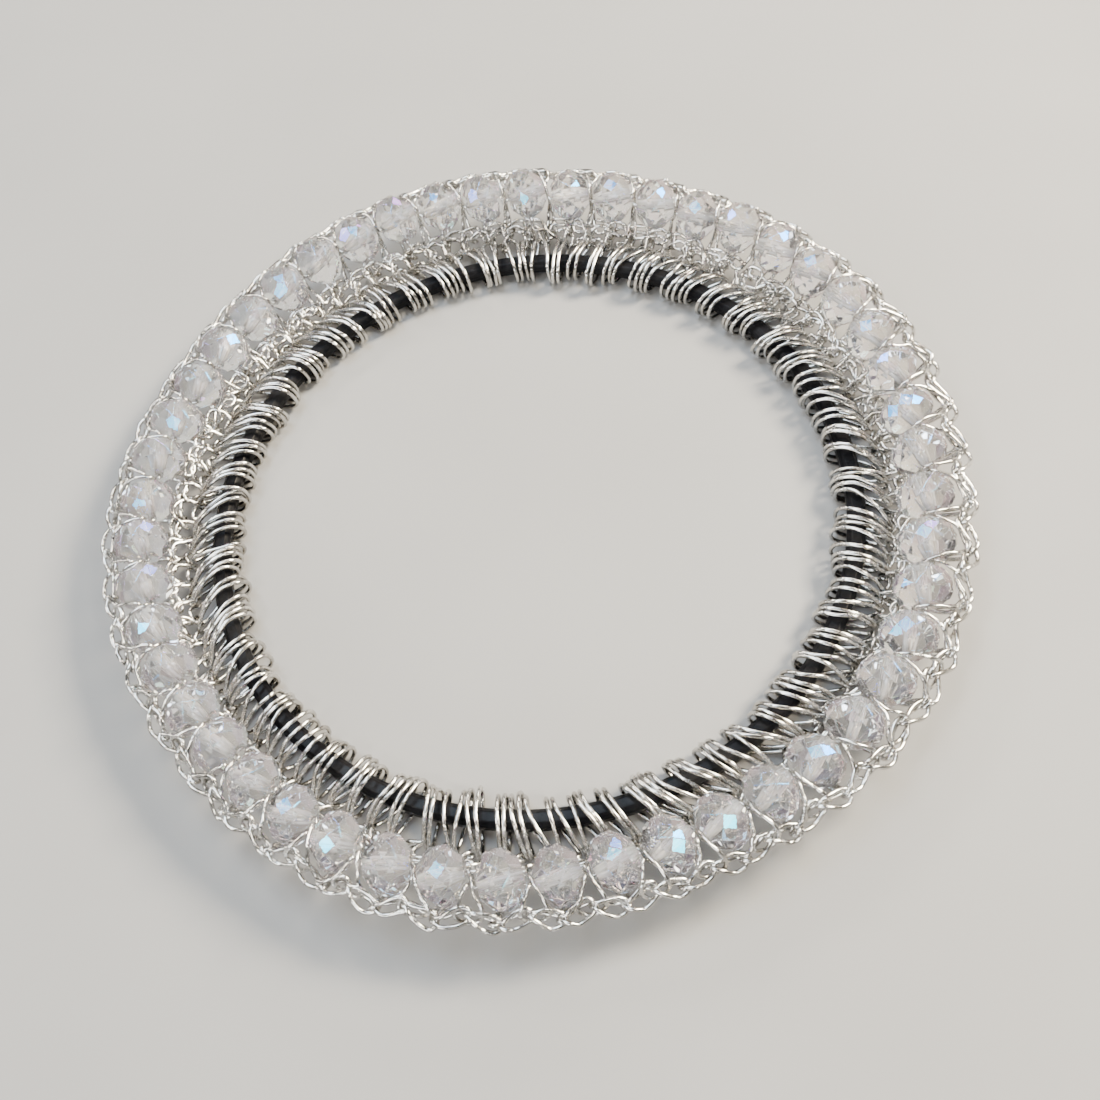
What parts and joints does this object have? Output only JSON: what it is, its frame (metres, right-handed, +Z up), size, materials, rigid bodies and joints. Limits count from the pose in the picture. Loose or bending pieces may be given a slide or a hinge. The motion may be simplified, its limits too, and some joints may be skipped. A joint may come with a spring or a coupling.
{
  "type": "bangle bracelet",
  "caption": "Rigid black hoop with silver wire crocheted over it into a flaring openwork band, edged with a ring of faceted clear crystal rondelle beads.",
  "frame": {"origin": "centre of the bangle, on the plane that its lowest wire loops rest on", "axes": "+Z up along the bangle's own axis, from the hoop towards the bead ring; +X to the right and -Y towards the viewer"},
  "size_m": [0.0943, 0.0944, 0.0097],
  "materials": {
    "hoop": "glossy black",
    "wire": "bright silver-coloured craft wire, lightly worked",
    "crystal": "clear faceted crystal glass with faint iridescent glints"
  },
  "bodies": {
    "band": {"hoop_core": "hoop", "foundation_round": "wire", "mesh_round": "wire", "bead_round": "wire", "bead_wire": "wire", "edging_upper": "wire", "edging_lower": "wire", "wire_tails": "wire"},
    "bead_01": {"bead_01": "crystal"},
    "bead_02": {"bead_02": "crystal"},
    "bead_03": {"bead_03": "crystal"},
    "bead_04": {"bead_04": "crystal"},
    "bead_05": {"bead_05": "crystal"},
    "bead_06": {"bead_06": "crystal"},
    "bead_07": {"bead_07": "crystal"},
    "bead_08": {"bead_08": "crystal"},
    "bead_09": {"bead_09": "crystal"},
    "bead_10": {"bead_10": "crystal"},
    "bead_11": {"bead_11": "crystal"},
    "bead_12": {"bead_12": "crystal"},
    "bead_13": {"bead_13": "crystal"},
    "bead_14": {"bead_14": "crystal"},
    "bead_15": {"bead_15": "crystal"},
    "bead_16": {"bead_16": "crystal"},
    "bead_17": {"bead_17": "crystal"},
    "bead_18": {"bead_18": "crystal"},
    "bead_19": {"bead_19": "crystal"},
    "bead_20": {"bead_20": "crystal"},
    "bead_21": {"bead_21": "crystal"},
    "bead_22": {"bead_22": "crystal"},
    "bead_23": {"bead_23": "crystal"},
    "bead_24": {"bead_24": "crystal"},
    "bead_25": {"bead_25": "crystal"},
    "bead_26": {"bead_26": "crystal"},
    "bead_27": {"bead_27": "crystal"},
    "bead_28": {"bead_28": "crystal"},
    "bead_29": {"bead_29": "crystal"},
    "bead_30": {"bead_30": "crystal"},
    "bead_31": {"bead_31": "crystal"},
    "bead_32": {"bead_32": "crystal"},
    "bead_33": {"bead_33": "crystal"},
    "bead_34": {"bead_34": "crystal"},
    "bead_35": {"bead_35": "crystal"},
    "bead_36": {"bead_36": "crystal"},
    "bead_37": {"bead_37": "crystal"},
    "bead_38": {"bead_38": "crystal"},
    "bead_39": {"bead_39": "crystal"},
    "bead_40": {"bead_40": "crystal"},
    "bead_41": {"bead_41": "crystal"},
    "bead_42": {"bead_42": "crystal"},
    "bead_43": {"bead_43": "crystal"},
    "bead_44": {"bead_44": "crystal"},
    "bead_45": {"bead_45": "crystal"},
    "bead_46": {"bead_46": "crystal"},
    "bead_47": {"bead_47": "crystal"},
    "bead_48": {"bead_48": "crystal"},
    "bead_49": {"bead_49": "crystal"}
  },
  "joints": [
    {"name": "bead_01_spin", "type": "hinge", "parent": "band", "child": "bead_01", "pos_m": [0.04131, 0.00493, 0.00678], "axis": [-0.4659, 0.8845, 0.0254], "continuous": true},
    {"name": "bead_02_spin", "type": "hinge", "parent": "band", "child": "bead_02", "pos_m": [0.04061, 0.01024, 0.00644], "axis": [-0.5208, 0.8525, -0.0444], "continuous": true},
    {"name": "bead_03_spin", "type": "hinge", "parent": "band", "child": "bead_03", "pos_m": [0.0392, 0.01544, 0.0068], "axis": [-0.5967, 0.8008, 0.0523], "continuous": true},
    {"name": "bead_04_spin", "type": "hinge", "parent": "band", "child": "bead_04", "pos_m": [0.03701, 0.02038, 0.00661], "axis": [-0.7452, 0.6652, -0.047], "continuous": true},
    {"name": "bead_05_spin", "type": "hinge", "parent": "band", "child": "bead_05", "pos_m": [0.03405, 0.02491, 0.00653], "axis": [-0.8349, 0.5496, 0.03], "continuous": true},
    {"name": "bead_06_spin", "type": "hinge", "parent": "band", "child": "bead_06", "pos_m": [0.03043, 0.02891, 0.00683], "axis": [-0.8619, 0.5071, -0.0055], "continuous": true},
    {"name": "bead_07_spin", "type": "hinge", "parent": "band", "child": "bead_07", "pos_m": [0.0263, 0.03234, 0.00646], "axis": [-0.9197, 0.392, -0.0205], "continuous": true},
    {"name": "bead_08_spin", "type": "hinge", "parent": "band", "child": "bead_08", "pos_m": [0.02182, 0.03524, 0.00671], "axis": [-0.9798, 0.1955, 0.0412], "continuous": true},
    {"name": "bead_09_spin", "type": "hinge", "parent": "band", "child": "bead_09", "pos_m": [0.01709, 0.03765, 0.00672], "axis": [-0.9948, 0.088, -0.0517], "continuous": true},
    {"name": "bead_10_spin", "type": "hinge", "parent": "band", "child": "bead_10", "pos_m": [0.01216, 0.03961, 0.00646], "axis": [-0.9982, 0.0329, 0.0492], "continuous": true},
    {"name": "bead_11_spin", "type": "hinge", "parent": "band", "child": "bead_11", "pos_m": [0.00703, 0.04106, 0.00683], "axis": [-0.9906, -0.1324, -0.0343], "continuous": true},
    {"name": "bead_12_spin", "type": "hinge", "parent": "band", "child": "bead_12", "pos_m": [0.00172, 0.04191, 0.00654], "axis": [-0.9475, -0.3195, 0.0109], "continuous": true},
    {"name": "bead_13_spin", "type": "hinge", "parent": "band", "child": "bead_13", "pos_m": [-0.00369, 0.04201, 0.0066], "axis": [-0.9206, -0.3902, 0.0153], "continuous": true},
    {"name": "bead_14_spin", "type": "hinge", "parent": "band", "child": "bead_14", "pos_m": [-0.00908, 0.04126, 0.0068], "axis": [-0.8869, -0.4604, -0.0377], "continuous": true},
    {"name": "bead_15_spin", "type": "hinge", "parent": "band", "child": "bead_15", "pos_m": [-0.01428, 0.03966, 0.00644], "axis": [-0.7808, -0.6228, 0.0506], "continuous": true},
    {"name": "bead_16_spin", "type": "hinge", "parent": "band", "child": "bead_16", "pos_m": [-0.01916, 0.03727, 0.00677], "axis": [-0.6684, -0.7421, -0.0508], "continuous": true},
    {"name": "bead_17_spin", "type": "hinge", "parent": "band", "child": "bead_17", "pos_m": [-0.02365, 0.03425, 0.00665], "axis": [-0.6266, -0.7784, 0.0383], "continuous": true},
    {"name": "bead_18_spin", "type": "hinge", "parent": "band", "child": "bead_18", "pos_m": [-0.02773, 0.03076, 0.0065], "axis": [-0.5357, -0.8443, -0.0162], "continuous": true},
    {"name": "bead_19_spin", "type": "hinge", "parent": "band", "child": "bead_19", "pos_m": [-0.03141, 0.0269, 0.00684], "axis": [-0.3506, -0.9365, -0.01], "continuous": true},
    {"name": "bead_20_spin", "type": "hinge", "parent": "band", "child": "bead_20", "pos_m": [-0.0347, 0.02272, 0.00649], "axis": [-0.2296, -0.9727, 0.0337], "continuous": true},
    {"name": "bead_21_spin", "type": "hinge", "parent": "band", "child": "bead_21", "pos_m": [-0.03754, 0.01822, 0.00667], "axis": [-0.1803, -0.9824, -0.0489], "continuous": true},
    {"name": "bead_22_spin", "type": "hinge", "parent": "band", "child": "bead_22", "pos_m": [-0.03981, 0.01341, 0.00675], "axis": [-0.0336, -0.9981, 0.0518], "continuous": true},
    {"name": "bead_23_spin", "type": "hinge", "parent": "band", "child": "bead_23", "pos_m": [-0.04137, 0.00833, 0.00644], "axis": [0.1642, -0.9855, -0.0418], "continuous": true},
    {"name": "bead_24_spin", "type": "hinge", "parent": "band", "child": "bead_24", "pos_m": [-0.04213, 0.00308, 0.00681], "axis": [0.2495, -0.9682, 0.0213], "continuous": true},
    {"name": "bead_25_spin", "type": "hinge", "parent": "band", "child": "bead_25", "pos_m": [-0.04206, -0.00222, 0.00658], "axis": [0.3096, -0.9509, 0.0046], "continuous": true},
    {"name": "bead_26_spin", "type": "hinge", "parent": "band", "child": "bead_26", "pos_m": [-0.0412, -0.00744, 0.00656], "axis": [0.4745, -0.8798, -0.0293], "continuous": true},
    {"name": "bead_27_spin", "type": "hinge", "parent": "band", "child": "bead_27", "pos_m": [-0.03967, -0.0125, 0.00682], "axis": [0.6211, -0.7823, 0.0466], "continuous": true},
    {"name": "bead_28_spin", "type": "hinge", "parent": "band", "child": "bead_28", "pos_m": [-0.03759, -0.01735, 0.00645], "axis": [0.6676, -0.7427, -0.0523], "continuous": true},
    {"name": "bead_29_spin", "type": "hinge", "parent": "band", "child": "bead_29", "pos_m": [-0.03503, -0.02199, 0.00673], "axis": [0.7348, -0.6768, 0.0449], "continuous": true},
    {"name": "bead_30_spin", "type": "hinge", "parent": "band", "child": "bead_30", "pos_m": [-0.03202, -0.02639, 0.00669], "axis": [0.8568, -0.5149, -0.0262], "continuous": true},
    {"name": "bead_31_spin", "type": "hinge", "parent": "band", "child": "bead_31", "pos_m": [-0.02853, -0.03049, 0.00647], "axis": [0.9225, -0.386, 0.0009], "continuous": true},
    {"name": "bead_32_spin", "type": "hinge", "parent": "band", "child": "bead_32", "pos_m": [-0.02452, -0.03414, 0.00684], "axis": [0.9408, -0.3382, 0.0246], "continuous": true},
    {"name": "bead_33_spin", "type": "hinge", "parent": "band", "child": "bead_33", "pos_m": [-0.02, -0.03718, 0.00652], "axis": [0.9766, -0.2105, -0.0439], "continuous": true},
    {"name": "bead_34_spin", "type": "hinge", "parent": "band", "child": "bead_34", "pos_m": [-0.01505, -0.03946, 0.00662], "axis": [0.9986, -0.0058, 0.0522], "continuous": true},
    {"name": "bead_35_spin", "type": "hinge", "parent": "band", "child": "bead_35", "pos_m": [-0.00981, -0.04091, 0.00679], "axis": [0.9938, 0.1007, -0.0474], "continuous": true},
    {"name": "bead_36_spin", "type": "hinge", "parent": "band", "child": "bead_36", "pos_m": [-0.00445, -0.04157, 0.00644], "axis": [0.9871, 0.1571, 0.0308], "continuous": true},
    {"name": "bead_37_spin", "type": "hinge", "parent": "band", "child": "bead_37", "pos_m": [0.00092, -0.04152, 0.00679], "axis": [0.9472, 0.3204, -0.0064], "continuous": true},
    {"name": "bead_38_spin", "type": "hinge", "parent": "band", "child": "bead_38", "pos_m": [0.0062, -0.0409, 0.00662], "axis": [0.8692, 0.4941, -0.0196], "continuous": true},
    {"name": "bead_39_spin", "type": "hinge", "parent": "band", "child": "bead_39", "pos_m": [0.01139, -0.03978, 0.00652], "axis": [0.8301, 0.5561, 0.0407], "continuous": true},
    {"name": "bead_40_spin", "type": "hinge", "parent": "band", "child": "bead_40", "pos_m": [0.01645, -0.03816, 0.00684], "axis": [0.7829, 0.6199, -0.0515], "continuous": true},
    {"name": "bead_41_spin", "type": "hinge", "parent": "band", "child": "bead_41", "pos_m": [0.02134, -0.03597, 0.00647], "axis": [0.6479, 0.7601, 0.0495], "continuous": true},
    {"name": "bead_42_spin", "type": "hinge", "parent": "band", "child": "bead_42", "pos_m": [0.02593, -0.03316, 0.00669], "axis": [0.5182, 0.8545, -0.035], "continuous": true},
    {"name": "bead_43_spin", "type": "hinge", "parent": "band", "child": "bead_43", "pos_m": [0.03006, -0.02967, 0.00673], "axis": [0.4721, 0.8815, 0.0118], "continuous": true},
    {"name": "bead_44_spin", "type": "hinge", "parent": "band", "child": "bead_44", "pos_m": [0.03359, -0.02557, 0.00645], "axis": [0.3688, 0.9294, 0.0144], "continuous": true},
    {"name": "bead_45_spin", "type": "hinge", "parent": "band", "child": "bead_45", "pos_m": [0.03642, -0.02097, 0.00682], "axis": [0.1703, 0.9847, -0.037], "continuous": true},
    {"name": "bead_46_spin", "type": "hinge", "parent": "band", "child": "bead_46", "pos_m": [0.03854, -0.01603, 0.00656], "axis": [0.0478, 0.9976, 0.0503], "continuous": true},
    {"name": "bead_47_spin", "type": "hinge", "parent": "band", "child": "bead_47", "pos_m": [0.04003, -0.01091, 0.00658], "axis": [-0.0033, 0.9987, -0.051], "continuous": true},
    {"name": "bead_48_spin", "type": "hinge", "parent": "band", "child": "bead_48", "pos_m": [0.04096, -0.00568, 0.00681], "axis": [-0.1544, 0.9872, 0.0389], "continuous": true},
    {"name": "bead_49_spin", "type": "hinge", "parent": "band", "child": "bead_49", "pos_m": [0.0414, -0.0004, 0.00644], "axis": [-0.3472, 0.9376, -0.017], "continuous": true}
  ]
}
